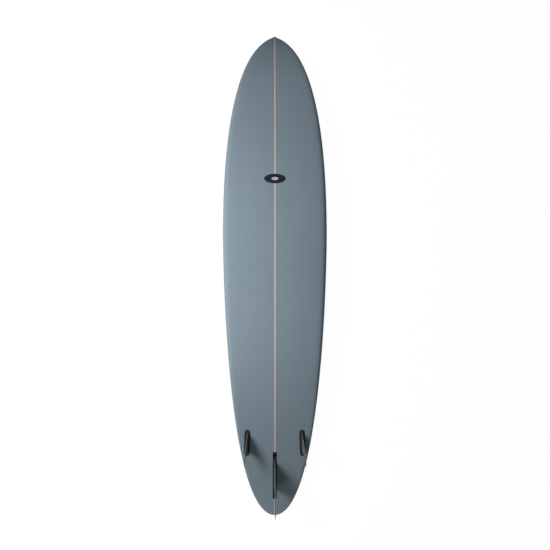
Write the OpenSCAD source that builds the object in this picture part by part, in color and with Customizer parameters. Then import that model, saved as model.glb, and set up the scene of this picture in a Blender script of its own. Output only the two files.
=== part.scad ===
// Surfboard with a two-plus-one fin set, lying fins up on its deck.
// X runs across the board, Y from tail to nose, Z up and out of the bottom.
// The origin is on the floor, midway between the nose and the tail.

/* [Board] */
// Length from the nose tip to the tail tip
board_length = 2743; // [2680:1:2800]
// Full width at the wide point
board_width = 587; // [572:1:600]
// Thickness on the centre line at the middle
board_thick = 76; // [72:1:80]
// Thickness at the nose, before its edge is rounded
nose_thick = 16; // [15:1:19]
// Thickness at the tail, before its edge is rounded
tail_thick = 24; // [23:1:27]
// Rise of the nose from the flattest part of the bottom
nose_rocker = 98; // [88:1:106]
// How far the flattest part lies behind the middle
flat_back = 110; // [80:1:140]
// How far the wide point lies ahead of the middle
wide_ahead = 229; // [210:1:250]
// Thickness of the glass laminate
skin = 1.2; // [0.9:0.1:1.5]
// Thickness of the wooden stringer
stringer_thick = 7.5; // [6:0.5:9]

/* [Plan shape] */
// Half width of the nose curve's first handle
nose_handle_w = 36.5; // [33:0.5:40]
// Setback of the nose curve's first handle
nose_handle_y = 25; // [22:0.5:30]
// Reach of the wide point's handle toward the nose
nose_reach = 1101; // [1070:1:1110]
// Reach of the wide point's handle toward the tail
tail_reach = 178; // [140:1:220]
// Half width of the tail curve's last handle
tail_handle_w = 267; // [258:1:275]
// Setback of the tail curve's last handle
tail_handle_y = 2; // [1:0.5:5]

/* [Section] */
// Share of the thickness between the bottom and the rail's widest line
rail_share = 0.4; // [0.35:0.01:0.45]
// Roundness of the bottom's edge from the middle to the nose
edge_round = 14; // [12:0.5:16]
// Roundness of that edge at the fins and behind them, where it is harder
tail_edge = 5.5; // [5:0.5:8]
// Squareness of the deck's crown
deck_power = 3.2; // [2.8:0.1:3.6]
// Drop of the rolled bottom ahead of the fins, from the centre line to the rail
bottom_roll = 2; // [1:0.5:3]
// Slope of each half of the bottom at the fins, where the roll has become a vee
tail_vee = 2.5; // [1:0.1:3]
// Distance over which the nose and tail ends are rounded
end_round = 11; // [9:1:13]

/* [Centre fin] */
// Distance from the tail tip to the middle of the box
box_from_tail = 235; // [228:1:244]
// Length of the box at the surface
box_length = 274; // [270:1:278]
// Width of the box at the surface
box_width = 23.5; // [23:0.5:26]
// Depth of the box
box_depth = 25; // [24:0.5:26]
// Width of the slot in the box
slot_width = 9.6; // [9.5:0.1:10]
// Length of the slot in the box
slot_length = 250; // [248:1:252]
// Chord of the fin at its base
fin_base = 165; // [155:1:170]
// Height of the fin
fin_height = 194; // [180:1:200]
// Setback of the fin's tip, at its middle, from the front of its base
fin_sweep = 254; // [235:1:260]
// Thickness of the fin at its base
fin_thick = 9; // [8:0.1:9]

/* [Side fins] */
// Distance of each plug from the centre line
plug_x = 157; // [152:1:160]
// Distance from the tail tip to the middle of each plug
plug_from_tail = 423; // [413:1:433]
// Length of a plug at the surface
plug_length = 154; // [150:1:156]
// Width of a plug at the surface
plug_width = 33; // [31:0.5:34]
// Depth of a plug
plug_depth = 19; // [18:0.5:20]
// Angle that turns the front of each plug toward the stringer
toe_in = 2.5; // [0:0.1:3]
// Chord of a side fin at its base
side_base = 112; // [108:1:114]
// Height of a side fin
side_height = 115; // [105:1:120]
// Setback of a side fin's tip, at its middle, from the front of its base
side_sweep = 154; // [145:1:160]
// Thickness of a side fin at its base
side_thick = 7; // [6:0.1:7.5]
// Outward lean of a side fin from the bottom's normal
side_cant = 3.8; // [3:0.1:7]

/* [Leash plug] */
// Distance of the plug from the centre line
leash_x = 24; // [22:1:28]
// Distance from the tail tip to the plug
leash_from_tail = 74; // [72:1:78]
// Outer diameter of the plug's flange
leash_d = 30; // [29:0.5:31]

/* [Hidden] */
$fn = 48;
fit = 0.2;
half_l = board_length / 2;
half_w = board_width / 2;
half_s = stringer_thick / 2;
// Both tips of the deck rest on the floor.
tail_rocker = nose_rocker + nose_thick - tail_thick;
nose_rocker_power = 2.8;
tail_rocker_power = 2;
nose_foil_power = 2.8;
tail_foil_power = 3.4;
nose_steps = 18;
tail_steps = 18;
// The bottom's columns crowd toward the rail, more so with a higher power.
bottom_cols = 11;
column_power = 20;
deck_cols = 9;
apex = bottom_cols;
cols = bottom_cols + deck_cols + 1;

box_y = box_from_tail - half_l;
plug_y = plug_from_tail - half_l;
leash_y = leash_from_tail - half_l;

// The box's body is shorter and narrower than its flange.
box_flange = 3;
box_corner = 3;
box_body = [box_length - 6, box_width - 3.5];
box_body_corner = 5;
slot_depth = 20;
groove_top = 12;
groove_high = 5;
groove_width = 16.8;
// The opening in the box's middle where the plate and the pin drop into the grooves.
gate_length = 14;
// The centre fin sits forward of the box's middle, its screw tab ahead of it.
fin_front = 86;
fin_seat = 0.2;
root_gap = 0.3;
root_width = slot_width - 0.4;
root_length = fin_base + 2;
tab_reach = 22;
tab_overlap = 20;
screw_tab = 3.6;
screw_tab_top = 8.3;
screw_y = fin_front + 14;
screw_d = 4;
screw_reach = 10.5;
screw_head = 7.8;
screw_head_high = 2.2;
plate_thick = 3;
plate_length = 12;
plate_gap = 0.15;
pin_d = 4;
pin_inset = 12;

side_front = 60.5;
side_seat = 0.1;
plug_flange = 4.2;
plug_body = [plug_length - 8, plug_width - 5];
// A blade's chord at its tip and its loss of thickness there, as shares of the base's,
// the bow of its front edge and the squareness of its tip.
tip_share = 0.43;
tip_thin = 0.3;
front_bow = 0.45;
tip_power = 24;
// The two tabs of a side fin, and the set screws that lean in on them.
tab_gap = 68;
tab_length = 24;
tab_thick = 5.9;
tab_depth = 13.5;
grub_lean = 30;
grub_tip = [-5.2, 0, -9];
grub_d = 4.8;
grub_length = 7.2;
grub_key = 2.8;
grub_key_deep = 3;

leash_lip = 2.2;
leash_depth = 15;
leash_body_d = leash_d - 4;
bar_d = 4;
bar_deep = 4.4;

slope_step = 5;
// Patches of the bottom's face that trim the box and the plugs flush with it: half width
// and half length, cells each way, and depth.
box_patch = [20, 150];
box_patch_cells = [2, 12];
plug_patch = [24, 84];
plug_patch_cells = [4, 8];
patch_depth = 50;

laminate_color = [0.46, 0.53, 0.57];
foam_color = [0.94, 0.93, 0.88];
wood_color = [0.78, 0.68, 0.54];
box_color = [0.06, 0.06, 0.065];
fin_color = [0.42, 0.42, 0.41];
steel_color = [0.72, 0.73, 0.74];

function bezier(p, t) =
    pow(1 - t, 3) * p[0] + 3 * pow(1 - t, 2) * t * p[1]
    + 3 * (1 - t) * t * t * p[2] + t * t * t * p[3];

// The plan shape: half width and Y at each station, from nose tip to tail tip.
nose_curve = [[0, half_l], [nose_handle_w, half_l - nose_handle_y],
    [half_w, wide_ahead + nose_reach], [half_w, wide_ahead]];
tail_curve = [[half_w, wide_ahead], [half_w, wide_ahead - tail_reach],
    [tail_handle_w, tail_handle_y - half_l], [0, -half_l]];
stations = concat(
    [for (i = [0:nose_steps]) bezier(nose_curve, i / nose_steps)],
    [for (i = [1:tail_steps]) bezier(tail_curve, 1 - pow(1 - i / tail_steps, 1.6))]);
rows = len(stations);
width_table = [for (s = stations) [s[1], s[0]]];
function half_width(y) = lookup(y, width_table);

// Rocker, thickness and the rounding of the two ends.
function rocker(y) = y > -flat_back
    ? nose_rocker * pow((y + flat_back) / (half_l + flat_back), nose_rocker_power)
    : tail_rocker * pow((-y - flat_back) / (half_l - flat_back), tail_rocker_power);
function thick(y) = y > 0
    ? nose_thick + (board_thick - nose_thick) * (1 - pow(y / half_l, nose_foil_power))
    : tail_thick + (board_thick - tail_thick) * (1 - pow(-y / half_l, tail_foil_power));
function round_end(y) = let (d = min(half_l - abs(y), end_round))
    sqrt(max(0, 1 - pow(1 - d / end_round, 2)));
function below(y) = (1 - rail_share) * thick(y) * round_end(y);
function above(y) = rail_share * thick(y) * round_end(y);
function rail_high(y) = -rocker(y) - rail_share * thick(y);
lift = -min([for (s = stations) rail_high(s[1]) - below(s[1])]);
function rail_z(y) = lift + rail_high(y);
// From the flattest part, 0, back to the side fins, 1, the bottom's edge hardens
// and its roll becomes a vee.
function aft(y) = min(1, max(0, -y - flat_back) / (-plug_y - flat_back));
function edge_size(y) = edge_round - (edge_round - tail_edge) * aft(y);
function edge_power(y) = 2 + half_width(y) / edge_size(y);
function roll(y) = bottom_roll * (1 - aft(y)) * round_end(y);
function vee(y) = half_width(y) * tan(tail_vee) * aft(y) * round_end(y);

// Height of the bottom and of the deck at a share k of the half width.
function bottom_at(y, k) = let (r = roll(y), v = vee(y))
    rail_z(y) + above(y) - r * k * k - v * k
    - (above(y) - r - v) * (1 - sqrt(max(0, 1 - pow(k, edge_power(y)))));
function deck_at(y, k) = rail_z(y) - below(y) * sqrt(max(0, 1 - pow(k, deck_power)));
function bottom_z(x, y) = bottom_at(y, min(1, abs(x) / half_width(y)));
function deck_z(x, y) = deck_at(y, min(1, abs(x) / half_width(y)));

// One point of the right half's outside: column 0 is the bottom beside the
// stringer, the apex column is the rail, the last is the deck beside the stringer.
function outer_point(w, y, j) =
    w == 0 ? [half_s, y, rail_z(y)]
    : j == apex ? [w, y, rail_z(y)]
    : j < apex ? let (a = 90 * pow(j / apex, 2.5),
        x = half_s + (w - half_s) * pow(sin(a), 2 / column_power))
        [x, y, bottom_at(y, x / w)]
    : let (a = 90 * pow((cols - 1 - j) / deck_cols, 1.5),
        x = half_s + (w - half_s) * pow(sin(a), 2 / deck_power))
        [x, y, deck_at(y, x / w)];
outside = [for (s = stations) [for (j = [0:cols - 1]) outer_point(s[0], s[1], j)]];

// The same grid moved in by the laminate's thickness.
function normal(i, j) =
    i == 0 ? [0, 1, 0]
    : i == rows - 1 ? [0, -1, 0]
    : let (u = outside[i + 1][j] - outside[i - 1][j],
        v = outside[i][min(j + 1, cols - 1)] - outside[i][max(j - 1, 0)],
        n = cross(u, v), m = j == 0 || j == cols - 1 ? [0, n[1], n[2]] : n)
        m / norm(m);
inside = [for (i = [0:rows - 1]) [for (j = [0:cols - 1]) outside[i][j] - skin * normal(i, j)]];

function flip(p) = [-p[0], p[1], p[2]];
// Rail to rail across the bottom, and rail to rail across the deck.
function bottom_row(row) = concat(
    [for (j = [apex:-1:0]) flip(row[j])], [for (j = [0:apex]) row[j]]);
function deck_row(row) = concat(
    [for (j = [apex:cols - 1]) flip(row[j])], [for (j = [cols - 1:-1:apex]) row[j]]);
// The faces of a grid. Where cross_from <= j < cross_to, a cell's diagonal runs the other way.
function grid_faces(n, m, base, back, closed = false, cross_from = 0, cross_to = 0) =
    [for (i = [0:n - 2], j = [0:closed ? m - 1 : m - 2])
    let (a = base + i * m + j, b = base + i * m + (j + 1) % m, c = a + m, d = b + m,
        crossed = j >= cross_from && j < cross_to,
        pair = crossed ? [[a, b, c], [b, d, c]] : [[a, b, d], [a, d, c]])
    each back ? [for (f = pair) [f[0], f[2], f[1]]] : pair];
function edge_faces(path, shift, back) = [for (k = [0:len(path) - 2])
    let (a = path[k], b = path[k + 1], c = a + shift, d = b + shift)
    each back ? [[a, b, d], [a, d, c]] : [[a, d, b], [a, c, d]]];

// A laminate: two parallel grids closed round their rim. The cells on one side
// are split like those of the blank's half there, so that the two lie flush.
module shell(outer_rows, inner_rows, back) {
    m = len(outer_rows[0]);
    total = rows * m;
    from = back ? m / 2 : 0;
    to = back ? m : m / 2;
    rim = concat([for (j = [0:m - 1]) j], [for (i = [1:rows - 1]) i * m + m - 1],
        [for (j = [m - 2:-1:0]) (rows - 1) * m + j], [for (i = [rows - 2:-1:0]) i * m]);
    polyhedron(
        points = concat([for (r = outer_rows) each r], [for (r = inner_rows) each r]),
        faces = concat(grid_faces(rows, m, 0, back, false, from, to),
            grid_faces(rows, m, total, !back, false, from, to), edge_faces(rim, total, back)));
}

// Half of the foam blank, flat against the stringer.
module half_blank(side) {
    points = [for (r = inside, p = r) side > 0 ? p : flip(p)];
    polyhedron(points = points, faces = grid_faces(rows, cols, 0, side < 0, true));
}

module to_side(side) {
    if (side > 0) children();
    else mirror([1, 0, 0]) children();
}

// Places its children on the bottom, with their Z along the bottom's normal.
module on_bottom(x, y) {
    d = slope_step;
    pitch = atan((bottom_z(x, y + d) - bottom_z(x, y - d)) / (2 * d));
    lean = -atan((bottom_z(x + d, y) - bottom_z(x - d, y)) / (2 * d));
    translate([x, y, bottom_z(x, y)]) rotate([pitch, x == 0 ? 0 : lean, 0]) children();
}

// Places its children on the deck, with their Z out of the deck.
module on_deck(x, y) {
    d = slope_step;
    pitch = atan((deck_z(x, y + d) - deck_z(x, y - d)) / (2 * d));
    lean = -atan((deck_z(x + d, y) - deck_z(x - d, y)) / (2 * d));
    translate([x, y, deck_z(x, y)]) rotate([pitch, lean, 0]) rotate([180, 0, 0]) children();
}

// The board's volume under a small patch of the bottom, to finish a box flush.
module under_bottom(x, y, reach, cells) {
    dx = reach[0];
    dy = reach[1];
    nx = cells[0];
    ny = cells[1];
    top = [for (i = [0:ny], j = [0:nx])
        let (px = x - dx + 2 * dx * j / nx, py = y + dy - 2 * dy * i / ny)
        [px, py, bottom_z(px, py)]];
    base = [for (p = top) [p[0], p[1], p[2] - patch_depth]];
    m = nx + 1;
    n = ny + 1;
    rim = concat([for (j = [0:m - 1]) j], [for (i = [1:n - 1]) i * m + m - 1],
        [for (j = [m - 2:-1:0]) (n - 1) * m + j], [for (i = [n - 2:-1:0]) i * m]);
    polyhedron(points = concat(top, base),
        faces = concat(grid_faces(n, m, 0, false), grid_faces(n, m, n * m, true),
            edge_faces(rim, n * m, false)));
}

module slot_block(length, width, high) {
    translate([-width / 2, -(length - width) / 2, 0]) cube([width, length - width, high]);
    for (s = [-1, 1])
        translate([0, s * (length - width) / 2, 0]) cylinder(d = width, h = high);
}

module rounded_block(length, width, high, r) {
    translate([-width / 2, -length / 2 + r, 0]) cube([width, length - 2 * r, high]);
    translate([-width / 2 + r, -length / 2, 0]) cube([width - 2 * r, length, high]);
    for (sx = [-1, 1], sy = [-1, 1])
        translate([sx * (width / 2 - r), sy * (length / 2 - r), 0]) cylinder(r = r, h = high);
}

// A fin blade with its base on Z = 0 and its front at Y = 0, in level sections.
// The share says how much of its thickness lies on the -X side.
function foil(c) = 2.13 * sqrt(c) * pow(1 - c, 0.6);
function tip_round(u) = sqrt(max(0, 1 - pow(u, tip_power)));
module blade(chord, high, sweep, t, share, cant, root, n, m) {
    tip = tip_share * chord;
    spans = concat(root > 0 ? [0] : [], [for (i = [0:m]) 1 - pow(1 - i / m, 2)]);
    points = [for (i = [0:len(spans) - 1], j = [0:n - 1])
        let (u = spans[i], a = 360 * j / n, c = (1 - cos(a)) / 2,
            front = (sweep - tip / 2) * ((1 - front_bow) * u + front_bow * pow(u, 3)),
            back = chord + (sweep + tip / 2 - chord) * pow(u, 3),
            y = (front + back) / 2 + (c - 0.5) * (back - front) * tip_round(u),
            f = foil(c) * t * (1 - tip_thin * u) * tip_round(u),
            side = sin(a) >= 0 ? f * (1 - share) : -f * share)
        [side + (share - 0.5) * t + high * u * tan(cant), -y,
            root > 0 && i == 0 ? -root : high * u]];
    faces = concat(
        [for (i = [0:len(spans) - 2], j = [0:n - 1])
            let (a = i * n + j, b = i * n + (j + 1) % n, c = a + n, d = b + n)
            each [[a, b, d], [a, d, c]]],
        [for (j = [1:n - 2]) [0, j + 1, j]]);
    polyhedron(points = points, faces = faces);
}

// The hollows that hold the centre box, the side plugs and the leash plug.
module box_blank(gap, top) {
    translate([0, 0, -box_flange])
        rounded_block(box_length + 2 * gap, box_width + 2 * gap, box_flange + top, box_corner);
    translate([0, 0, -box_depth])
        rounded_block(box_body[0] + 2 * gap, box_body[1] + 2 * gap, box_depth, box_body_corner);
}
module box_hollow() {
    on_bottom(0, box_y) box_blank(fit, 4);
}
module plug_blank(gap, top) {
    translate([0, 0, -plug_flange])
        slot_block(plug_length + 2 * gap, plug_width + 2 * gap, plug_flange + top);
    translate([0, 0, -plug_depth])
        slot_block(plug_body[0] + 2 * gap, plug_body[1] + 2 * gap, plug_depth);
}
module at_plug() {
    on_bottom(plug_x, plug_y) rotate([0, 0, toe_in]) children();
}
module plug_hollow(side) {
    to_side(side) at_plug() plug_blank(fit, 4);
}
module leash_hollow() {
    on_deck(leash_x, leash_y) {
        translate([0, 0, -leash_lip]) cylinder(d = leash_d + 2 * fit, h = leash_lip + 4);
        translate([0, 0, -leash_depth]) cylinder(d = leash_body_d + 2 * fit, h = leash_depth);
    }
}

module bottom_skin() {
    color(laminate_color) difference() {
        shell([for (r = outside) bottom_row(r)], [for (r = inside) bottom_row(r)], false);
        box_hollow();
        plug_hollow(1);
        plug_hollow(-1);
    }
}

module deck_skin() {
    color(laminate_color) difference() {
        shell([for (r = outside) deck_row(r)], [for (r = inside) deck_row(r)], true);
        leash_hollow();
    }
}

module foam_left() {
    color(foam_color) difference() {
        half_blank(-1);
        box_hollow();
        plug_hollow(-1);
    }
}

module foam_right() {
    color(foam_color) difference() {
        half_blank(1);
        box_hollow();
        plug_hollow(1);
        leash_hollow();
    }
}

module stringer() {
    outline = concat([for (i = [0:rows - 1]) [inside[i][0][1], inside[i][0][2]]],
        [for (i = [rows - 2:-1:1]) [inside[i][cols - 1][1], inside[i][cols - 1][2]]]);
    color(wood_color) difference() {
        rotate([90, 0, 90]) linear_extrude(height = stringer_thick, center = true)
            polygon(outline);
        box_hollow();
    }
}

module centre_fin_box() {
    color(box_color) difference() {
        intersection() {
            on_bottom(0, box_y) box_blank(0, 3);
            under_bottom(0, box_y, box_patch, box_patch_cells);
        }
        on_bottom(0, box_y) {
            translate([0, 0, -slot_depth]) slot_block(slot_length, slot_width, slot_depth + 4);
            translate([0, 0, -groove_top - groove_high])
                slot_block(slot_length + 3, groove_width, groove_high);
            translate([-groove_width / 2, -gate_length / 2, -groove_top - 1])
                cube([groove_width, gate_length, groove_top + 4]);
        }
    }
}

module centre_fin() {
    color(fin_color) on_bottom(0, box_y) difference() {
        union() {
            translate([0, fin_front, fin_seat])
                blade(fin_base, fin_height, fin_sweep, fin_thick, 0.5, 0, 3, 24, 18);
            translate([0, fin_front - fin_base / 2, -slot_depth + root_gap])
                slot_block(root_length, root_width, slot_depth - 2 * root_gap);
            translate([0, fin_front + (tab_reach - tab_overlap) / 2, -screw_tab_top - screw_tab])
                slot_block(tab_reach + tab_overlap, root_width, screw_tab);
        }
        translate([0, screw_y, -slot_depth]) cylinder(d = screw_d + 0.5, h = slot_depth);
        at_pin() cylinder(d = pin_d + 0.04, h = groove_width, center = true);
    }
}

module centre_fin_screw() {
    color(steel_color) on_bottom(0, box_y) translate([0, screw_y, -screw_tab_top]) difference() {
        union() {
            translate([0, 0, -screw_reach]) cylinder(d = screw_d, h = screw_reach + 0.5);
            cylinder(d1 = screw_head, d2 = screw_head - 1.4, h = screw_head_high);
        }
        for (a = [0, 90])
            rotate([0, 0, a]) translate([0, 0, screw_head_high]) cube([4.4, 1, 3], center = true);
    }
}

module centre_fin_plate() {
    color(steel_color) on_bottom(0, box_y)
        translate([0, screw_y, -groove_top - plate_gap - plate_thick]) difference() {
        rounded_block(plate_length, groove_width - 0.8, plate_thick, 1.5);
        translate([0, 0, -1]) cylinder(d = screw_d + 0.1, h = plate_thick + 2);
    }
}

// The pin through the rear of the fin's root, which runs in the box's grooves.
module at_pin() {
    translate([0, fin_front - fin_base + pin_inset, -groove_top - groove_high / 2])
        rotate([0, 90, 0]) children();
}
module centre_fin_pin() {
    color(steel_color) on_bottom(0, box_y) at_pin()
        cylinder(d = pin_d, h = groove_width - 0.8, center = true);
}

// Places its children at a tab of a plug: the front one at 1, the rear one at -1.
module at_tab(end) {
    translate([0, end * tab_gap / 2, 0]) children();
}

// Places its children at the tip of that tab's set screw, with Z up along the screw.
module at_grub(end) {
    at_tab(end) translate(grub_tip) rotate([0, -grub_lean, 0]) children();
}

module side_plug(side) {
    color(box_color) to_side(side) difference() {
        intersection() {
            at_plug() plug_blank(0, 3);
            under_bottom(plug_x, plug_y, plug_patch, plug_patch_cells);
        }
        at_plug() for (end = [-1, 1]) {
            at_tab(end) translate([0, 0, -tab_depth - 0.2])
                slot_block(tab_length + 0.4, tab_thick + 0.3, tab_depth + 3);
            at_grub(end) translate([0, 0, -2]) cylinder(d = grub_d + 0.1, h = 20);
        }
    }
}
module side_plug_left() side_plug(-1);
module side_plug_right() side_plug(1);

module side_fin(side) {
    color(fin_color) to_side(side) at_plug() translate([0, 0, side_seat]) {
        translate([0, side_front, 0])
            blade(side_base, side_height, side_sweep, side_thick, 0.1, side_cant, 0, 20, 16);
        for (end = [-1, 1])
            at_tab(end) translate([0, 0, -tab_depth]) slot_block(tab_length, tab_thick, tab_depth);
    }
}
module side_fin_left() side_fin(-1);
module side_fin_right() side_fin(1);

module grub_screw(side, end) {
    color(steel_color) to_side(side) at_plug() at_grub(end) difference() {
        cylinder(d = grub_d, h = grub_length);
        translate([0, 0, grub_length - grub_key_deep]) rotate([0, 0, 30])
            cylinder(d = grub_key, h = grub_key_deep + 1, $fn = 6);
    }
}
module grub_front_left() grub_screw(-1, 1);
module grub_rear_left() grub_screw(-1, -1);
module grub_front_right() grub_screw(1, 1);
module grub_rear_right() grub_screw(1, -1);

module leash_cup() {
    r = leash_d / 2;
    body = leash_body_d / 2;
    wall = body - 1.5;
    cup = leash_depth - 3;
    color(box_color) on_deck(leash_x, leash_y) difference() {
        rotate_extrude() polygon([[0, -leash_depth], [body - 1, -leash_depth],
            [body, 1 - leash_depth], [body, -leash_lip], [r, -leash_lip], [r, 0], [wall, 0],
            [wall, 5 - cup], [wall - 4, -cup], [0, -cup]]);
        translate([-r + leash_lip, 0, -bar_deep]) rotate([0, 90, 0])
            cylinder(d = bar_d + 0.04, h = leash_d - 2 * leash_lip);
    }
}

module leash_bar() {
    color(steel_color) on_deck(leash_x, leash_y)
        translate([0, 0, -bar_deep]) rotate([0, 90, 0])
        cylinder(d = bar_d, h = leash_d - 2 * leash_lip - 0.4, center = true);
}

bottom_skin();
deck_skin();
foam_left();
foam_right();
stringer();
centre_fin_box();
centre_fin();
centre_fin_screw();
centre_fin_plate();
centre_fin_pin();
side_plug_left();
side_plug_right();
side_fin_left();
side_fin_right();
grub_front_left();
grub_rear_left();
grub_front_right();
grub_rear_right();
leash_cup();
leash_bar();
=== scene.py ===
"""Looks of a surfboard with a two-plus-one fin set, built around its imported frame.

Lengths are in metres. +X points right, +Y to the nose and +Z up, out of the
bottom: the board lies fins up on its deck.
"""

import math

import bmesh
import bpy
import numpy as np
from mathutils import Matrix, Vector


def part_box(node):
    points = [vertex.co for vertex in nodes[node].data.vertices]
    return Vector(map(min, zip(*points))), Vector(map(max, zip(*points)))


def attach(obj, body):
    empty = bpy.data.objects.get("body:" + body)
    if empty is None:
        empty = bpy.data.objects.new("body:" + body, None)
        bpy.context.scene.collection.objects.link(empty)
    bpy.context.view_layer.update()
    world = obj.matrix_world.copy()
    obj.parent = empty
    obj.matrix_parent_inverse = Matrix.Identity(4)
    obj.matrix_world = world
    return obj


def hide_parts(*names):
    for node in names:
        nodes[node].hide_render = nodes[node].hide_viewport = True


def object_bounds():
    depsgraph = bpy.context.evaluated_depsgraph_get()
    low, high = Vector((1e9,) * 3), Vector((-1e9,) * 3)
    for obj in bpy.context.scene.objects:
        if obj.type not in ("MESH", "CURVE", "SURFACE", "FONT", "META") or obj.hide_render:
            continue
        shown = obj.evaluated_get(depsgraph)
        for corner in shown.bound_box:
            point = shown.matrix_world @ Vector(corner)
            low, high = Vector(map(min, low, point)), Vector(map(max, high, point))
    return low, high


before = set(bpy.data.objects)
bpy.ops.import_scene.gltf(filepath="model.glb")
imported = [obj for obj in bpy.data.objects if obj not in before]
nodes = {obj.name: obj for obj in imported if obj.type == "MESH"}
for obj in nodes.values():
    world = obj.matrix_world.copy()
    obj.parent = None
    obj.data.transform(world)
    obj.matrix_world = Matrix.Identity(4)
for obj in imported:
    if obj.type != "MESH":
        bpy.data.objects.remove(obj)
cad_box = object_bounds()
MM = 0.001

# Board form, as in the solids
HALF_LENGTH = cad_box[1][1]
HALF_WIDTH = cad_box[1][0]
THICK = 76 * MM
NOSE_THICK = 16 * MM
TAIL_THICK = 24 * MM
NOSE_ROCKER = 98 * MM
TAIL_ROCKER = NOSE_ROCKER + NOSE_THICK - TAIL_THICK
NOSE_ROCKER_POWER = 2.8
TAIL_ROCKER_POWER = 2.0
NOSE_FOIL_POWER = 2.8
TAIL_FOIL_POWER = 3.4
FLAT_BACK = 110 * MM
WIDE_AHEAD = 229 * MM
NOSE_HANDLE = (36.5 * MM, 25 * MM)
NOSE_REACH = 1101 * MM
TAIL_REACH = 178 * MM
TAIL_HANDLE = (267 * MM, 2 * MM)
RAIL_SHARE = 0.4
EDGE_ROUND = 14 * MM
TAIL_EDGE = 5.5 * MM
DECK_POWER = 3.2
BOTTOM_ROLL = 2 * MM
TAIL_VEE = math.radians(2.5)
END_ROUND = 11 * MM
SKIN = 1.2 * MM
HALF_STRINGER = 3.75 * MM

# Centre fin and its box, as in the solids
BOX_Y = -HALF_LENGTH + 235 * MM
BOX_SIZE = (274 * MM, 23.5 * MM)
BOX_CORNER = 3 * MM
SLOT_WIDTH = 9.6 * MM
SLOT_DEPTH = 20 * MM
FIN_FRONT = 86 * MM
FIN_BASE = 165 * MM
FIN_HEIGHT = 194 * MM
FIN_SWEEP = 254 * MM
FIN_THICK = 9 * MM
FIN_SEAT = 0.2 * MM
ROOT_WIDTH = SLOT_WIDTH - 0.4 * MM
ROOT_LENGTH = FIN_BASE + 2 * MM
ROOT_GAP = 0.3 * MM
ROOT_OVERLAP = 3 * MM
TAB_REACH = 22 * MM
TAB_OVERLAP = 20 * MM
SCREW_TAB = 3.6 * MM
SCREW_TAB_TOP = 8.3 * MM
SCREW_Y = FIN_FRONT + 14 * MM
SCREW_HOLE = 4.5 * MM

# Side fins and their plugs, as in the solids
PLUG_AT = (157 * MM, -HALF_LENGTH + 423 * MM)
PLUG_SIZE = (154 * MM, 33 * MM)
TOE_IN = math.radians(2.5)
SIDE_FRONT = 60.5 * MM
SIDE_BASE = 112 * MM
SIDE_HEIGHT = 115 * MM
SIDE_SWEEP = 154 * MM
SIDE_THICK = 7 * MM
SIDE_CANT = math.radians(3.8)
SIDE_INNER_SHARE = 0.1
SIDE_SEAT = 0.1 * MM
TAB_GAP = 68 * MM
TAB_SIZE = (24 * MM, 5.9 * MM)
TAB_DEPTH = 13.5 * MM

# Blade form, as in the solids
TIP_SHARE = 0.43
TIP_THIN = 0.3
TIP_POWER = 24
FRONT_BOW = 0.45
FOIL_SCALE = 2.13
FOIL_POWER = 0.6

# Leash plug and fits, as in the solids
LEASH_AT = (24 * MM, -HALF_LENGTH + 74 * MM)
LEASH_FLANGE = 15 * MM
LEASH_LIP = 2.2 * MM
FIT = 0.2 * MM

# Reach of the cutters inside and outside the laminate's face
CUT_INSIDE = 3 * MM
CUT_OUTSIDE = 4 * MM

# Meshes
NOSE_STEPS = 90
NOSE_FIRST_STEP = 0.05
TAIL_STEPS = 90
TAIL_STEP_POWER = 1.25
BOTTOM_COLUMNS = 40
BOTTOM_COLUMN_POWER = 20
BOTTOM_COLUMN_SPREAD = 2.5
DECK_COLUMNS = 30
DECK_COLUMN_SPREAD = 1.5
CREASE_SHARE = 0.02
RAIL_SHARES = np.array([0.5, 0.2, 0.06])
BLADE_AROUND = 72
BLADE_SPANS = 64
ARC_STEPS = 16
MERGE_DISTANCE = 1e-7
SMALLEST_NORMAL = 1e-12
# How far a side fin's tabs reach into its blade, so that they join
TAB_JOIN = 0.05 * MM
# The stringer shows up to this far from the tips
STRINGER_INSET = 6 * MM
# Edges sharper than this many degrees stay sharp
SMOOTH_ANGLE = 35
FIN_SMOOTH_ANGLE = 40


def bezier(points, t):
    """Points of a cubic curve at the parameters t, one row each."""
    t = np.asarray(t, float)[:, None]
    a, b, c, d = (np.array(p) for p in points)
    return (1 - t) ** 3 * a + 3 * (1 - t) ** 2 * t * b + 3 * (1 - t) * t**2 * c + t**3 * d


def plan_stations():
    """Half width and Y at each station, from the nose tip to the tail tip."""
    nose = [(0, HALF_LENGTH), (NOSE_HANDLE[0], HALF_LENGTH - NOSE_HANDLE[1]),
            (HALF_WIDTH, WIDE_AHEAD + NOSE_REACH), (HALF_WIDTH, WIDE_AHEAD)]
    tail = [(HALF_WIDTH, WIDE_AHEAD), (HALF_WIDTH, WIDE_AHEAD - TAIL_REACH),
            (TAIL_HANDLE[0], TAIL_HANDLE[1] - HALF_LENGTH), (0, -HALF_LENGTH)]
    nose_t = np.concatenate([[0], np.linspace(NOSE_FIRST_STEP, 1, NOSE_STEPS)])
    tail_t = 1 - (1 - np.arange(1, TAIL_STEPS + 1) / TAIL_STEPS) ** TAIL_STEP_POWER
    return np.concatenate([bezier(nose, nose_t), bezier(tail, tail_t)])


STATIONS = plan_stations()


def half_width(y):
    return np.interp(y, STATIONS[::-1, 1], STATIONS[::-1, 0])


def rocker(y):
    """Drop of the bottom's middle from its flattest part."""
    nose = np.maximum(y + FLAT_BACK, 0) / (HALF_LENGTH + FLAT_BACK)
    tail = np.maximum(-y - FLAT_BACK, 0) / (HALF_LENGTH - FLAT_BACK)
    return NOSE_ROCKER * nose**NOSE_ROCKER_POWER + TAIL_ROCKER * tail**TAIL_ROCKER_POWER


def thickness(y):
    nose = np.maximum(y, 0) / HALF_LENGTH
    tail = np.maximum(-y, 0) / HALF_LENGTH
    drop = (THICK - NOSE_THICK) * nose**NOSE_FOIL_POWER
    return THICK - drop - (THICK - TAIL_THICK) * tail**TAIL_FOIL_POWER


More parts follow.
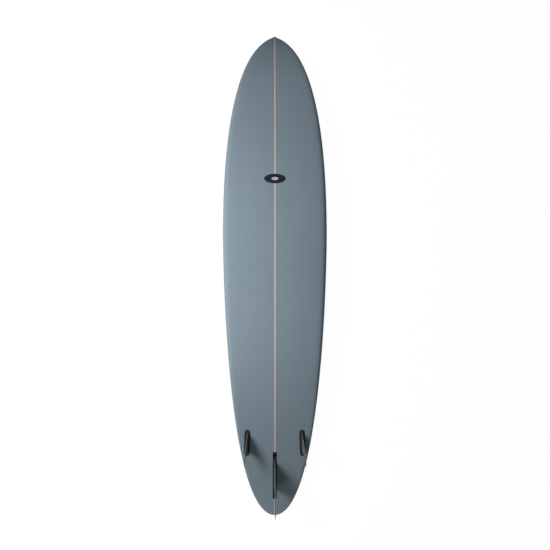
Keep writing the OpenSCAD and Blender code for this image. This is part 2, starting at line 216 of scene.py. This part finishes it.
def end_factor(y):
    """Share of the thickness that the rounding of the two ends leaves."""
    inset = np.minimum(HALF_LENGTH - np.abs(y), END_ROUND) / END_ROUND
    return np.sqrt(np.maximum(1 - (1 - inset) ** 2, 0))


def rail_drop(y):
    return -rocker(y) - RAIL_SHARE * thickness(y)


def below_rail(y):
    return (1 - RAIL_SHARE) * thickness(y) * end_factor(y)


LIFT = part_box("deck_skin")[0][2] - np.min(rail_drop(STATIONS[:, 1]) - below_rail(STATIONS[:, 1]))


def rail_z(y):
    return LIFT + rail_drop(y)


def aft(y):
    """0 at the flattest part and ahead of it, 1 at the side fins and behind them."""
    return np.clip((-y - FLAT_BACK) / (-PLUG_AT[1] - FLAT_BACK), 0, 1)


def edge_power(y):
    """The squareness of the bottom's edge, which hardens toward the fins."""
    return 2 + half_width(y) / (EDGE_ROUND - (EDGE_ROUND - TAIL_EDGE) * aft(y))


def bottom_at(y, k):
    """Height of the bottom at a share k of the half width: a roll that becomes a vee."""
    above = RAIL_SHARE * thickness(y) * end_factor(y)
    roll = BOTTOM_ROLL * (1 - aft(y)) * end_factor(y)
    vee = half_width(y) * math.tan(TAIL_VEE) * aft(y) * end_factor(y)
    edge = 1 - np.sqrt(np.maximum(1 - k ** edge_power(y), 0))
    return rail_z(y) + above - roll * k**2 - vee * k - (above - roll - vee) * edge


def deck_at(y, k):
    """Height of the deck at a share k of the half width."""
    return rail_z(y) - below_rail(y) * np.sqrt(np.maximum(1 - k**DECK_POWER, 0))


def bottom_z(x, y):
    return float(bottom_at(y, min(1.0, abs(x) / half_width(y))))


def deck_z(x, y):
    return float(deck_at(y, min(1.0, abs(x) / half_width(y))))


def surface_frame(height, x, y):
    """The frame on a surface at (x, y): its Z is the upward normal there."""
    step = 5 * MM
    pitch = math.atan((height(x, y + step) - height(x, y - step)) / (2 * step))
    lean = -math.atan((height(x + step, y) - height(x - step, y)) / (2 * step)) if x else 0.0
    turn = Matrix.Rotation(lean, 4, "Y") @ Matrix.Rotation(pitch, 4, "X")
    return Matrix.Translation((x, y, height(x, y))) @ turn


def half_surface(columns, spread, power, height):
    """The right half of one face of the board: rows of points from stringer to rail.

    The last column is divided again, so that the two faces meet in a smooth rail.
    """
    share = np.arange(columns + 1) / columns
    share = np.insert(share, columns, 1 - RAIL_SHARES / columns)
    k = np.sin(math.pi / 2 * share**spread) ** (2 / power)
    k = np.insert(k, 1, CREASE_SHARE)
    rows = []
    for w, y in STATIONS:
        x = HALF_STRINGER + max(w - HALF_STRINGER, 0) * k
        if w < HALF_STRINGER:
            z = np.full_like(x, rail_z(y))
        else:
            z = height(y, np.minimum(x / w, 1))
        rows.append(np.stack([x, np.full_like(x, y), z], axis=1))
    return np.array(rows)


def across(half):
    """Both halves of a face, from the left rail to the right one."""
    return np.concatenate([half[:, ::-1] * (-1, 1, 1), half], axis=1)


def inward(half, outward):
    """The same face moved in by the laminate's thickness."""
    along = np.zeros_like(half)
    along[1:-1] = half[2:] - half[:-2]
    over = np.gradient(half, axis=1)
    normal = np.cross(along, over) * outward
    normal[:, 0, 0] = 0
    normal[0] = (0, 1, 0)
    normal[-1] = (0, -1, 0)
    size = np.linalg.norm(normal, axis=2, keepdims=True)
    return half - SKIN * normal / np.maximum(size, SMALLEST_NORMAL)


def add_object(name, mesh, *materials):
    obj = bpy.data.objects.new(name, mesh)
    bpy.context.scene.collection.objects.link(obj)
    for material in materials:
        mesh.materials.append(material)
    return obj


def mesh_from(name, points, faces, material_of=()):
    """A mesh with its double points merged and its faces turned outward."""
    mesh = bpy.data.meshes.new(name)
    mesh.from_pydata([tuple(p) for p in points], [], faces)
    for polygon, index in zip(mesh.polygons, material_of):
        polygon.material_index = index
    bm = bmesh.new()
    bm.from_mesh(mesh)
    bmesh.ops.remove_doubles(bm, verts=bm.verts, dist=MERGE_DISTANCE)
    bmesh.ops.recalc_face_normals(bm, faces=bm.faces)
    bm.to_mesh(mesh)
    bm.free()
    return mesh


def smooth(obj, angle=SMOOTH_ANGLE):
    """Smooth shading, with edges sharper than the angle kept."""
    obj.data.shade_smooth()
    obj.data.set_sharp_from_angle(angle=math.radians(angle))
    return obj


def apply_boolean(obj, tool, operation):
    """Cuts obj by tool, or joins them, and drops the tool."""
    modifier = obj.modifiers.new("boolean", "BOOLEAN")
    modifier.object = tool
    modifier.operation = operation
    modifier.solver = "EXACT"
    tool.hide_render = True
    bpy.context.view_layer.update()
    result = obj.evaluated_get(bpy.context.evaluated_depsgraph_get())
    mesh = bpy.data.meshes.new_from_object(result)
    obj.modifiers.clear()
    obj.data = mesh
    bpy.data.objects.remove(tool)


def shell(name, half, outward, paint, wood):
    """A laminate as a closed shell, with the stringer showing down its middle."""
    outer = across(half)
    inner = across(inward(half, outward))
    rows, columns = outer.shape[:2]
    total = rows * columns
    points = np.concatenate([outer.reshape(-1, 3), inner.reshape(-1, 3)])
    faces = []
    kinds = []
    for i in range(rows - 1):
        clear = abs(outer[i, 0, 1]) < HALF_LENGTH - STRINGER_INSET
        for j in range(columns - 1):
            a = i * columns + j
            quad = (a, a + 1, a + columns + 1, a + columns)
            faces += [quad, tuple(total + v for v in reversed(quad))]
            kinds += [int(clear and j == columns // 2 - 1), 0]
    rim = [*range(columns), *(i * columns + columns - 1 for i in range(1, rows)),
           *((rows - 1) * columns + j for j in range(columns - 2, -1, -1)),
           *(i * columns for i in range(rows - 2, -1, -1))]
    for a, b in zip(rim, rim[1:]):
        faces.append((a, b, b + total, a + total))
        kinds.append(0)
    return add_object(name, mesh_from(name, points, faces, kinds), paint, wood)


def arc(centre, radius, start, end):
    steps = np.linspace(math.radians(start), math.radians(end), ARC_STEPS)
    return [(centre[0] + radius * math.cos(a), centre[1] + radius * math.sin(a)) for a in steps]


def rounded_outline(length, width, radius):
    """A rectangle along Y with round corners; half the width makes a stadium."""
    x = width / 2 - radius
    y = length / 2 - radius
    corners = [((x, y), 0), ((-x, y), 90), ((-x, -y), 180), ((x, -y), 270)]
    return [p for centre, start in corners for p in arc(centre, radius, start, start + 90)]


def stadium(length, width):
    return rounded_outline(length, width, width / 2)


def prism(name, outline, low, high, place, *materials):
    """A closed prism of an outline between two heights of a frame."""
    n = len(outline)
    points = [place @ Vector((x, y, z)) for z in (low, high) for x, y in outline]
    faces = [tuple(range(n)), tuple(range(n, 2 * n))]
    faces += [(i, (i + 1) % n, n + (i + 1) % n, n + i) for i in range(n)]
    return add_object(name, mesh_from(name, points, faces), *materials)


def ring_faces(count, around):
    """The faces between a number of rings of points, one after the other."""
    faces = []
    for i in range(count - 1):
        for j in range(around):
            a = i * around + j
            b = i * around + (j + 1) % around
            faces.append((a, b, b + around, a + around))
    return faces


def foil(c):
    """Thickness of a foil at a share c of its chord, about 1 at its thickest."""
    return FOIL_SCALE * np.sqrt(c) * (1 - c) ** FOIL_POWER


def blade(name, place, chord, height, sweep, thick, material, share=0.5, cant=0.0, root=0.0):
    """A foiled fin blade in level sections: its base on Z = 0, its front at Y = 0.

    The share is the part of its thickness on the -X side of the chord, and the root
    is how far the base is carried down.
    """
    tip = TIP_SHARE * chord
    turn = 2 * math.pi * np.arange(BLADE_AROUND) / BLADE_AROUND
    c = (1 - np.cos(turn)) / 2
    side = np.where(np.sin(turn) >= 0, 1 - share, -share)
    rings = []
    for u in 1 - (1 - np.arange(BLADE_SPANS + 1) / BLADE_SPANS) ** 2:
        tip_round = math.sqrt(max(0, 1 - u**TIP_POWER))
        front = (sweep - tip / 2) * ((1 - FRONT_BOW) * u + FRONT_BOW * u**3)
        back = chord + (sweep + tip / 2 - chord) * u**3
        y = (front + back) / 2 + (c - 0.5) * (back - front) * tip_round
        x = side * foil(c) * thick * (1 - TIP_THIN * u) * tip_round
        x = x + (share - 0.5) * thick + height * u * math.tan(cant)
        rings.append(np.stack([x, -y, np.full(BLADE_AROUND, height * u)], axis=1))
    if root:
        rings.insert(0, rings[0] - (0, 0, root))
    points = [place @ Vector(p) for ring in rings for p in ring]
    faces = [tuple(range(BLADE_AROUND)), *ring_faces(len(rings), BLADE_AROUND)]
    return add_object(name, mesh_from(name, points, faces), material)


def shade(color, factor):
    return tuple(factor * c for c in color)


def grey(tone):
    return (tone,) * 3


PAINT = (0.245, 0.314, 0.366)
# Painted shade toward the nose tip: its tone at shares of the way from its start to the tip
NOSE_PAINTED_SHADE_START = 1.0
NOSE_PAINTED_SHADE = ((0.0, 1.0), (0.35, 0.985), (0.61, 0.885), (0.78, 0.82), (0.87, 0.755), (1.0, 0.52))


class Nodes:
    """A short way to write a node material."""

    def __init__(self, name):
        self.material = bpy.data.materials.new(name)
        self.material.use_nodes = True
        self.tree = self.material.node_tree
        self.shader = self.tree.nodes["Principled BSDF"]
        self.output = self.tree.nodes["Material Output"]
        self.coordinates = self.add("ShaderNodeTexCoord").outputs["Object"]

    def add(self, kind, **settings):
        node = self.tree.nodes.new(kind)
        for key, value in settings.items():
            setattr(node, key, value)
        return node

    def link(self, source, target):
        self.tree.links.new(source, target)

    def stretch(self, scale):
        """The object's coordinates, scaled by axis."""
        node = self.add("ShaderNodeMapping")
        node.inputs["Scale"].default_value = scale
        self.link(self.coordinates, node.inputs["Vector"])
        return node.outputs["Vector"]

    def noise(self, scale, detail=3.0, roughness=0.5, vector=None):
        node = self.add("ShaderNodeTexNoise")
        node.inputs["Scale"].default_value = scale
        node.inputs["Detail"].default_value = detail
        node.inputs["Roughness"].default_value = roughness
        self.link(vector or self.coordinates, node.inputs["Vector"])
        return node.outputs["Fac"]

    def ramp(self, value, *stops):
        """A colour ramp with (position, colour) stops."""
        node = self.add("ShaderNodeValToRGB")
        elements = node.color_ramp.elements
        while len(elements) < len(stops):
            elements.new(0.5)
        for element, (position, color) in zip(elements, stops):
            element.position = position
            element.color = (*color, 1)
        self.link(value, node.inputs["Fac"])
        return node.outputs["Color"]

    def nose_painted_shade(self, color):
        """The colour darkened toward the nose tip by painted shade."""
        axes = self.add("ShaderNodeSeparateXYZ")
        self.link(self.coordinates, axes.inputs["Vector"])
        along = self.add("ShaderNodeMapRange")
        along.inputs["From Min"].default_value = NOSE_PAINTED_SHADE_START
        along.inputs["From Max"].default_value = HALF_LENGTH
        self.link(axes.outputs["Y"], along.inputs["Value"])
        # Painted shade: a ramp that darkens the colour toward the nose tip
        painted_shade = self.ramp(along.outputs["Result"], *((at, grey(tone)) for at, tone in NOSE_PAINTED_SHADE))
        return self.multiply(color, painted_shade)

    def span(self, value, low, high):
        """A value from 0 to 1 as one between low and high."""
        node = self.add("ShaderNodeMapRange")
        node.inputs["To Min"].default_value = low
        node.inputs["To Max"].default_value = high
        self.link(value, node.inputs["Value"])
        return node.outputs["Result"]

    def multiply(self, a, b, factor=1.0):
        """One colour times another, as far as the factor says."""
        node = self.add("ShaderNodeMix", data_type="RGBA", blend_type="MULTIPLY")
        # The sockets for colours come after those for numbers and vectors
        node.inputs[0].default_value = factor
        self.link(a, node.inputs[6])
        self.link(b, node.inputs[7])
        return node.outputs[2]

    def bump(self, height, strength, distance):
        node = self.add("ShaderNodeBump")
        node.inputs["Strength"].default_value = strength
        node.inputs["Distance"].default_value = distance
        self.link(height, node.inputs["Height"])
        return node.outputs["Normal"]

    def finish(self, color, roughness, normal=None, **numbers):
        """Links the shader's main inputs and sets its plain numbers."""
        for value, name in ((color, "Base Color"), (roughness, "Roughness"), (normal, "Normal")):
            if value is not None:
                self.link(value, self.shader.inputs[name])
        for name, value in numbers.items():
            self.shader.inputs[name.replace("_", " ")].default_value = value
        return self.material


def laminate_material():
    """Sanded laminate over a blue-grey sprayed blank, with painted shade darkening it toward the
    nose tip.
    """
    n = Nodes("laminate")
    cloud = n.noise(2.6, detail=4)
    color = n.ramp(cloud, (0.3, shade(PAINT, 0.975)), (0.7, shade(PAINT, 1.025)))
    # Painted shade: darker toward the nose tip
    color = n.nose_painted_shade(color)
    grain = n.noise(900, detail=2)
    color = n.multiply(color, n.ramp(grain, (0.3, grey(0.93)), (0.7, grey(1.05))), factor=0.5)
    sanding = n.noise(1, detail=4, roughness=0.65, vector=n.stretch((900, 26, 900)))
    roughness = n.span(sanding, 0.44, 0.58)
    normal = n.bump(sanding, strength=0.05, distance=0.2 * MM)
    return n.finish(color, roughness, normal, Specular_IOR_Level=0.12)


def stringer_material():
    """Pale timber with its grain along the board, with painted shade darkening it toward the nose
    tip.
    """
    n = Nodes("stringer")
    grain = n.noise(1, detail=5, roughness=0.6, vector=n.stretch((1500, 9, 300)))
    color = n.ramp(grain, (0.3, (0.57, 0.49, 0.425)), (0.55, (0.685, 0.61, 0.55)),
                   (0.75, (0.745, 0.68, 0.62)))
    # Painted shade: darker toward the nose tip
    color = n.nose_painted_shade(color)
    roughness = n.span(grain, 0.38, 0.5)
    normal = n.bump(grain, strength=0.05, distance=0.2 * MM)
    return n.finish(color, roughness, normal, Specular_IOR_Level=0.12)


def foam_material():
    """Closed-cell foam with its fine cells."""
    n = Nodes("foam")
    node = n.add("ShaderNodeTexVoronoi")
    node.inputs["Scale"].default_value = 700
    n.link(n.coordinates, node.inputs["Vector"])
    cells = node.outputs["Distance"]
    color = n.ramp(cells, (0.0, (0.87, 0.85, 0.79)), (0.7, (0.74, 0.71, 0.63)))
    roughness = n.span(cells, 0.75, 0.95)
    return n.finish(color, roughness, n.bump(cells, strength=0.3, distance=0.5 * MM))


def moulded_material(name, low, high, rough):
    """Moulded plastic with a fine spark-eroded grain."""
    n = Nodes(name)
    cloud = n.noise(60, detail=4)
    color = n.ramp(cloud, (0.3, low), (0.7, high))
    grain = n.noise(2600, detail=2)
    roughness = n.span(n.noise(240, detail=3), rough - 0.07, rough + 0.07)
    normal = n.bump(grain, strength=0.12, distance=0.1 * MM)
    return n.finish(color, roughness, normal, Specular_IOR_Level=0.1)


def steel_material(name, low, high):
    """Steel brushed across the board."""
    n = Nodes(name)
    brushed = n.noise(1, detail=4, roughness=0.7, vector=n.stretch((300, 4000, 300)))
    color = n.ramp(brushed, (0.3, low), (0.7, high))
    roughness = n.span(brushed, 0.24, 0.42)
    normal = n.bump(brushed, strength=0.06, distance=0.1 * MM)
    return n.finish(color, roughness, normal, Metallic=1.0)


def ink_material(name, low, high):
    """Printed film under the laminate."""
    n = Nodes(name)
    fleck = n.noise(500, detail=3)
    color = n.ramp(fleck, (0.3, low), (0.7, high))
    roughness = n.span(n.noise(300), 0.44, 0.56)
    return n.finish(color, roughness, Specular_IOR_Level=0.12)


laminate = laminate_material()
timber = stringer_material()
foam = foam_material()
black = moulded_material("box_plastic", (0.0085, 0.0095, 0.011), (0.0125, 0.014, 0.0155), 0.5)
plug_black = moulded_material("plug_plastic", (0.024, 0.0275, 0.0305), (0.032, 0.036, 0.04), 0.5)
composite = moulded_material("fin_composite", (0.137, 0.135, 0.13), (0.161, 0.158, 0.151), 0.46)
steel = steel_material("stainless", (0.5, 0.5, 0.51), (0.64, 0.64, 0.65))
dark_steel = steel_material("dark_steel", (0.04, 0.04, 0.042), (0.06, 0.06, 0.064))
navy = ink_material("navy_ink", (0.011, 0.013, 0.026), (0.015, 0.018, 0.033))
pale = ink_material("pale_ink", (0.52, 0.54, 0.55), (0.6, 0.62, 0.63))


def place_piece(obj, body, slot, *replaced):
    """Puts a finished piece on its body, and hides the nodes that it stands for; its slot is not
    used.
    """
    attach(obj, body)
    if replaced:
        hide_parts(*replaced)


box_frame = surface_frame(bottom_z, 0, BOX_Y)
plug_frame = surface_frame(bottom_z, *PLUG_AT) @ Matrix.Rotation(TOE_IN, 4, "Z")
mirror_x = Matrix.Scale(-1, 4, (1, 0, 0))
plug_frames = {"left": mirror_x @ plug_frame, "right": plug_frame}


def moved(place, y, z=0.0):
    """A frame moved along its own Y and Z."""
    return place @ Matrix.Translation((0, y, z))


def build_bottom():
    """The bottom laminate, cut out for the box and the two plugs."""
    half = half_surface(BOTTOM_COLUMNS, BOTTOM_COLUMN_SPREAD, BOTTOM_COLUMN_POWER, bottom_at)
    obj = shell("bottom_laminate", half, 1, laminate, timber)
    outline = rounded_outline(BOX_SIZE[0] + 2 * FIT, BOX_SIZE[1] + 2 * FIT, BOX_CORNER)
    apply_boolean(obj, prism("cut", outline, -CUT_INSIDE, CUT_OUTSIDE, box_frame), "DIFFERENCE")
    outline = stadium(PLUG_SIZE[0] + 2 * FIT, PLUG_SIZE[1] + 2 * FIT)
    for place in plug_frames.values():
        apply_boolean(obj, prism("cut", outline, -CUT_INSIDE, CUT_OUTSIDE, place), "DIFFERENCE")
    place_piece(smooth(obj), "board", "laminate", "bottom_skin")


def build_deck():
    """The deck laminate, cut out for the leash plug."""
    half = half_surface(DECK_COLUMNS, DECK_COLUMN_SPREAD, DECK_POWER, deck_at)
    obj = shell("deck_laminate", half, -1, laminate, timber)
    width = 2 * (LEASH_FLANGE + FIT)
    place = surface_frame(deck_z, *LEASH_AT)
    cut = prism("cut", stadium(width, width), -CUT_OUTSIDE, LEASH_LIP, place)
    apply_boolean(obj, cut, "DIFFERENCE")
    place_piece(smooth(obj), "board", "laminate", "deck_skin")


def build_centre_fin():
    """The centre fin's blade, its root in the slot and the tab under its screw."""
    obj = blade("centre_fin_blade", moved(box_frame, FIN_FRONT, FIN_SEAT), FIN_BASE, FIN_HEIGHT,
                FIN_SWEEP, FIN_THICK, composite, root=ROOT_OVERLAP)
    place = moved(box_frame, FIN_FRONT - FIN_BASE / 2)
    outline = stadium(ROOT_LENGTH, ROOT_WIDTH)
    root = prism("root", outline, -SLOT_DEPTH + ROOT_GAP, -ROOT_GAP, place, composite)
    apply_boolean(obj, root, "UNION")
    place = moved(box_frame, FIN_FRONT + (TAB_REACH - TAB_OVERLAP) / 2)
    outline = stadium(TAB_REACH + TAB_OVERLAP, ROOT_WIDTH)
    tab = prism("tab", outline, -SCREW_TAB_TOP - SCREW_TAB, -SCREW_TAB_TOP, place, composite)
    apply_boolean(obj, tab, "UNION")
    place = moved(box_frame, SCREW_Y)
    hole = prism("hole", stadium(SCREW_HOLE, SCREW_HOLE), -SLOT_DEPTH, 0, place)
    apply_boolean(obj, hole, "DIFFERENCE")
    place_piece(smooth(obj, FIN_SMOOTH_ANGLE), "centre_fin", "fin_composite", "centre_fin")


def build_side_fin(side):
    """A side fin's blade with its two tabs."""
    place = moved(plug_frames[side], 0, SIDE_SEAT)
    obj = blade(f"side_fin_blade_{side}", moved(place, SIDE_FRONT), SIDE_BASE, SIDE_HEIGHT,
                SIDE_SWEEP, SIDE_THICK, composite, share=SIDE_INNER_SHARE, cant=SIDE_CANT)
    outline = stadium(*TAB_SIZE)
    for end in (-1, 1):
        tab_place = moved(place, end * TAB_GAP / 2)
        tab = prism("tab", outline, -TAB_DEPTH, TAB_JOIN, tab_place, composite)
        apply_boolean(obj, tab, "UNION")
    body = f"side_fin_{side}"
    place_piece(smooth(obj, FIN_SMOOTH_ANGLE), body, "fin_composite", body)


def build_mark():
    """A plain oval of printed film, pale in its middle, under the laminate."""
    half_x = 61 * MM
    half_y = 27 * MM
    middle_y = 546 * MM
    proud = 0.12 * MM
    sunk = 0.3 * MM
    around = 96
    rings = np.array([0.03, 0.18, 0.32, 0.55, 0.78, 1.0])
    pale_rings = 2
    points = []
    for offset, order in ((proud, rings), (-sunk, rings[::-1])):
        for r in order:
            for a in 2 * math.pi * np.arange(around) / around:
                x = half_x * r * math.cos(a)
                y = middle_y + half_y * r * math.sin(a)
                points.append((x, y, bottom_z(x, y) + offset))
    count = 2 * len(rings)
    middle_top = tuple(range(around))
    middle_under = tuple(range((count - 1) * around, count * around))
    sides = ring_faces(count, around)
    faces = [middle_top, middle_under, *sides]
    kinds = [1, 0, *(int(i < pale_rings * around) for i in range(len(sides)))]
    obj = add_object("oval_mark", mesh_from("oval_mark", points, faces, kinds), navy, pale)
    place_piece(smooth(obj), "board", "laminate")


def dress_nodes():
    """Gives the solids that stay in view their materials."""
    finishes = {
        foam: ("foam_left", "foam_right"),
        timber: ("stringer",),
        black: ("centre_fin_box", "leash_cup"),
        plug_black: ("side_plug_left", "side_plug_right"),
        steel: ("centre_fin_plate", "centre_fin_pin", "leash_bar"),
        dark_steel: ("centre_fin_screw", "grub_front_left", "grub_rear_left",
                     "grub_front_right", "grub_rear_right"),
    }
    for material, names in finishes.items():
        for name in names:
            mesh = nodes[name].data
            mesh.materials.clear()
            mesh.materials.append(material)


def seen_rays(tree):
    """1 for rays from the camera, in reflections and through glass, 0 for the rest."""
    path = tree.nodes.new("ShaderNodeLightPath")
    total = path.outputs["Is Camera Ray"]
    for name in ("Is Glossy Ray", "Is Transmission Ray"):
        either = tree.nodes.new("ShaderNodeMath")
        either.operation = "MAXIMUM"
        tree.links.new(total, either.inputs[0])
        tree.links.new(path.outputs[name], either.inputs[1])
        total = either.outputs[0]
    return total


def build_stage():
    """A white floor with a faint shadow, which bounces light as a grey one does."""
    half_size = 6.0
    white_glow = 0.975
    shadow_tone = 0.06
    bounce_tone = 0.3
    corners = [(-1, -1), (1, -1), (1, 1), (-1, 1)]
    mesh = bpy.data.meshes.new("floor")
    mesh.from_pydata([(half_size * x, half_size * y, 0) for x, y in corners], [], [(0, 1, 2, 3)])
    n = Nodes("floor")
    n.tree.nodes.remove(n.shader)
    glow = n.add("ShaderNodeEmission")
    glow.inputs["Strength"].default_value = white_glow
    shadow = n.add("ShaderNodeBsdfDiffuse")
    shadow.inputs["Color"].default_value = (*grey(shadow_tone), 1)
    white = n.add("ShaderNodeAddShader")
    n.link(glow.outputs[0], white.inputs[0])
    n.link(shadow.outputs[0], white.inputs[1])
    bounce = n.add("ShaderNodeBsdfDiffuse")
    bounce.inputs["Color"].default_value = (*grey(bounce_tone), 1)
    mixed = n.add("ShaderNodeMixShader")
    n.link(seen_rays(n.tree), mixed.inputs["Fac"])
    n.link(bounce.outputs[0], mixed.inputs[1])
    n.link(white.outputs[0], mixed.inputs[2])
    n.link(mixed.outputs[0], n.output.inputs["Surface"])
    add_object("floor", mesh, n.material)


def build_world():
    """White to the eye and in reflections, and a soft fill for everything else."""
    fill = 0.12
    world = bpy.data.worlds.new("studio")
    bpy.context.scene.world = world
    world.use_nodes = True
    tree = world.node_tree
    background = tree.nodes["Background"]
    background.inputs["Color"].default_value = (1, 1, 1, 1)
    strength = tree.nodes.new("ShaderNodeMapRange")
    strength.inputs["To Min"].default_value = fill
    strength.inputs["To Max"].default_value = 1.0
    tree.links.new(seen_rays(tree), strength.inputs["Value"])
    tree.links.new(strength.outputs["Result"], background.inputs["Strength"])


def add_area_light(name, place, target, size, watts, spread):
    """A softbox; a narrow spread, in degrees, stands for the grid on its front."""
    data = bpy.data.lights.new(name, "AREA")
    data.spread = math.radians(spread)
    data.shape = "RECTANGLE"
    data.size, data.size_y = size
    data.energy = watts
    light = bpy.data.objects.new(name, data)
    light.location = place
    light.rotation_euler = (Vector(target) - Vector(place)).to_track_quat("-Z", "Y").to_euler()
    bpy.context.scene.collection.objects.link(light)


def build_lights():
    """A long softbox on the left, and three weak ones for the middle, the tail and the fins."""
    add_area_light("strip", place=(-1.96, 0.2, 1.7), target=(0.6, -0.2, 0.1),
                   size=(1.95, 0.64), watts=60.0, spread=180)
    add_area_light("spot", place=(-0.37, -0.52, 1.7), target=(-0.44, 0.2, 0.1),
                   size=(0.87, 1.38), watts=1.15, spread=44)
    add_area_light("kicker", place=(-0.92, -2.41, 1.46), target=(0.09, -1.4, 0.1),
                   size=(0.55, 0.5), watts=0.105, spread=20)
    add_area_light("fin_fill", place=(1.9, -1.1, 0.075), target=(0.1, -1.1, 0.165),
                   size=(0.6, 0.03), watts=0.08, spread=6)


def build_camera():
    """Straight above the bottom, with the nose at the top of the picture."""
    middle = Vector((0.2 * MM, 3.6 * MM, bottom_z(0, 0)))
    aside = 90 * MM
    distance = 4.5
    picture_pixels = 550
    pixel = 5.61 * MM
    frame_width = picture_pixels * pixel
    data = bpy.data.cameras.new("camera")
    data.lens = data.sensor_width * distance / frame_width
    data.shift_x = aside / frame_width
    camera = bpy.data.objects.new("camera", data)
    camera.location = middle + Vector((-aside, 0, distance))
    bpy.context.scene.collection.objects.link(camera)
    bpy.context.scene.camera = camera


build_bottom()
build_deck()
build_centre_fin()
for side_name in plug_frames:
    build_side_fin(side_name)
build_mark()
dress_nodes()
build_stage()
build_world()
build_lights()
build_camera()
bpy.context.scene.view_settings.view_transform = "Standard"
